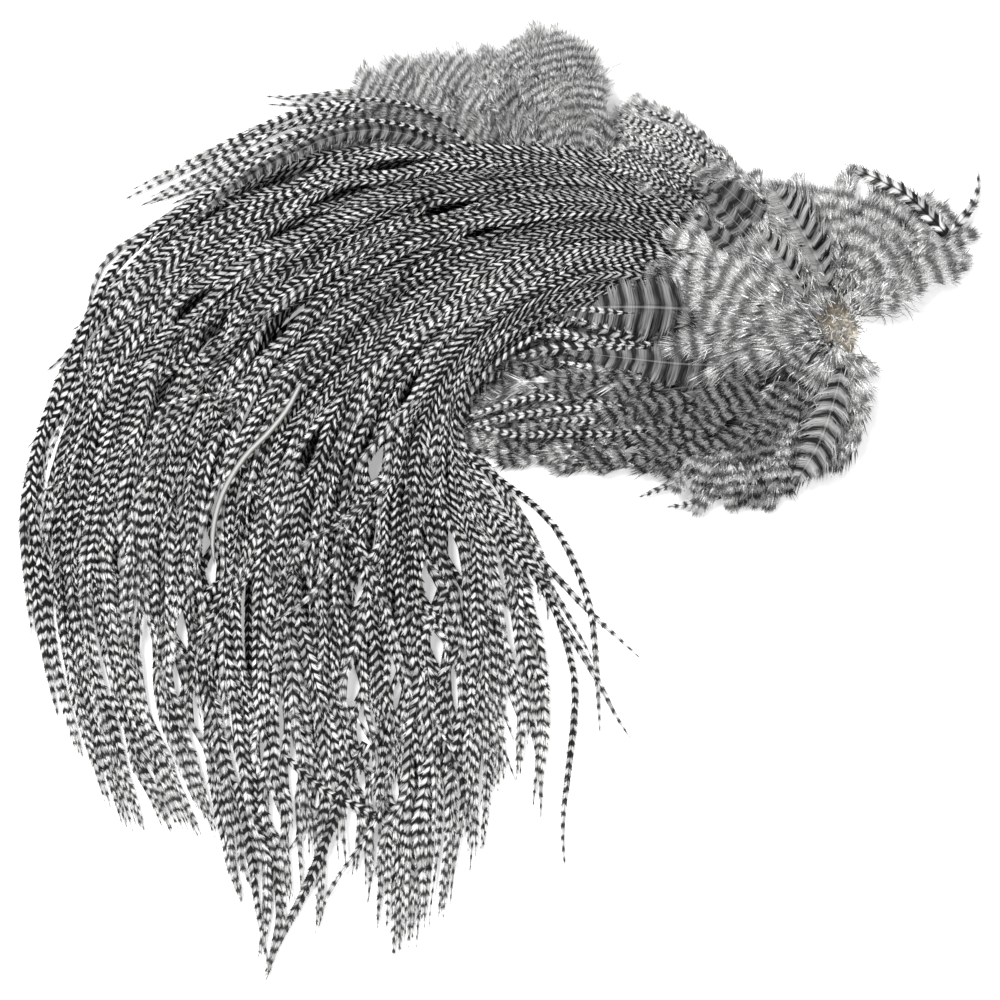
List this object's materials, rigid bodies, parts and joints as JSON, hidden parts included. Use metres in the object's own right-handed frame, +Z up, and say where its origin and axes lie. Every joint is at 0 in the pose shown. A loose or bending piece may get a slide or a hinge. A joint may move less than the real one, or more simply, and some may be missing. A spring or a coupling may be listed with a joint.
{
  "type": "rooster saddle hackle pelt",
  "caption": "Dried rooster saddle pelt lying flat: a tan skin with long narrow barred black-and-white hackles combed into one curl, and soft body feathers and fluff round its butt.",
  "frame": {"origin": "on the surface the pelt lies on, under the middle of its outline in plan", "axes": "+Z up off the surface; +Y towards the fluff tuft, away from the hackle tips; +X towards the butt of the skin, away from the curl"},
  "size_m": [0.2886, 0.2853, 0.0135],
  "materials": {
    "skin": "dry, matt, slightly crinkled",
    "barred_hackle": "glossy barbs, black and white cross bars",
    "body_feather": "soft webby barbs, broad grey bars",
    "fluff": "downy, matt"
  },
  "bodies": {
    "root": {"skin": "skin", "hackle_lock_01": "barred_hackle", "hackle_lock_02": "barred_hackle", "hackle_lock_03": "barred_hackle", "hackle_lock_04": "barred_hackle", "hackle_lock_05": "barred_hackle", "hackle_lock_06": "barred_hackle", "hackle_lock_07": "barred_hackle", "hackle_lock_08": "barred_hackle", "hackle_lock_09": "barred_hackle", "hackle_lock_10": "barred_hackle", "hackle_lock_11": "barred_hackle", "hackle_lock_12": "barred_hackle", "hackle_lock_13": "barred_hackle", "hackle_lock_14": "barred_hackle", "hackle_lock_15": "barred_hackle", "hackle_lock_16": "barred_hackle", "hackle_lock_17": "barred_hackle", "hackle_lock_18": "barred_hackle", "hackle_lock_19": "barred_hackle", "hackle_lock_20": "barred_hackle", "hackle_lock_21": "barred_hackle", "hackle_lock_22": "barred_hackle", "hackle_lock_23": "barred_hackle", "hackle_lock_24": "barred_hackle", "hackle_lock_25": "barred_hackle", "hackle_lock_26": "barred_hackle", "hackle_lock_27": "barred_hackle", "hackle_lock_28": "barred_hackle", "hackle_lock_29": "barred_hackle", "hackle_lock_30": "barred_hackle", "hackle_lock_31": "barred_hackle", "hackle_lock_32": "barred_hackle", "hackle_stray_top": "barred_hackle", "hackle_stray_left": "barred_hackle", "hackle_stray_near": "barred_hackle", "hackle_stray_long": "barred_hackle", "hackle_stray_out": "barred_hackle", "tuft_wisp": "barred_hackle", "spotted_feather": "barred_hackle", "lobe_tip_feather": "barred_hackle", "saddle_feathers_01": "body_feather", "saddle_feathers_02": "body_feather", "saddle_feathers_03": "body_feather", "saddle_feathers_04": "body_feather", "saddle_feathers_05": "body_feather", "saddle_feathers_06": "body_feather", "saddle_feathers_07": "body_feather", "saddle_feathers_08": "body_feather", "saddle_feathers_09": "body_feather", "saddle_feathers_10": "body_feather", "saddle_feathers_11": "body_feather", "saddle_feathers_12": "body_feather", "back_feathers_01": "body_feather", "back_feathers_02": "body_feather", "fluff_tuft_01": "fluff", "fluff_tuft_02": "fluff", "fluff_tuft_03": "fluff", "fluff_tuft_04": "fluff", "fluff_tuft_05": "fluff"}
  },
  "joints": []
}
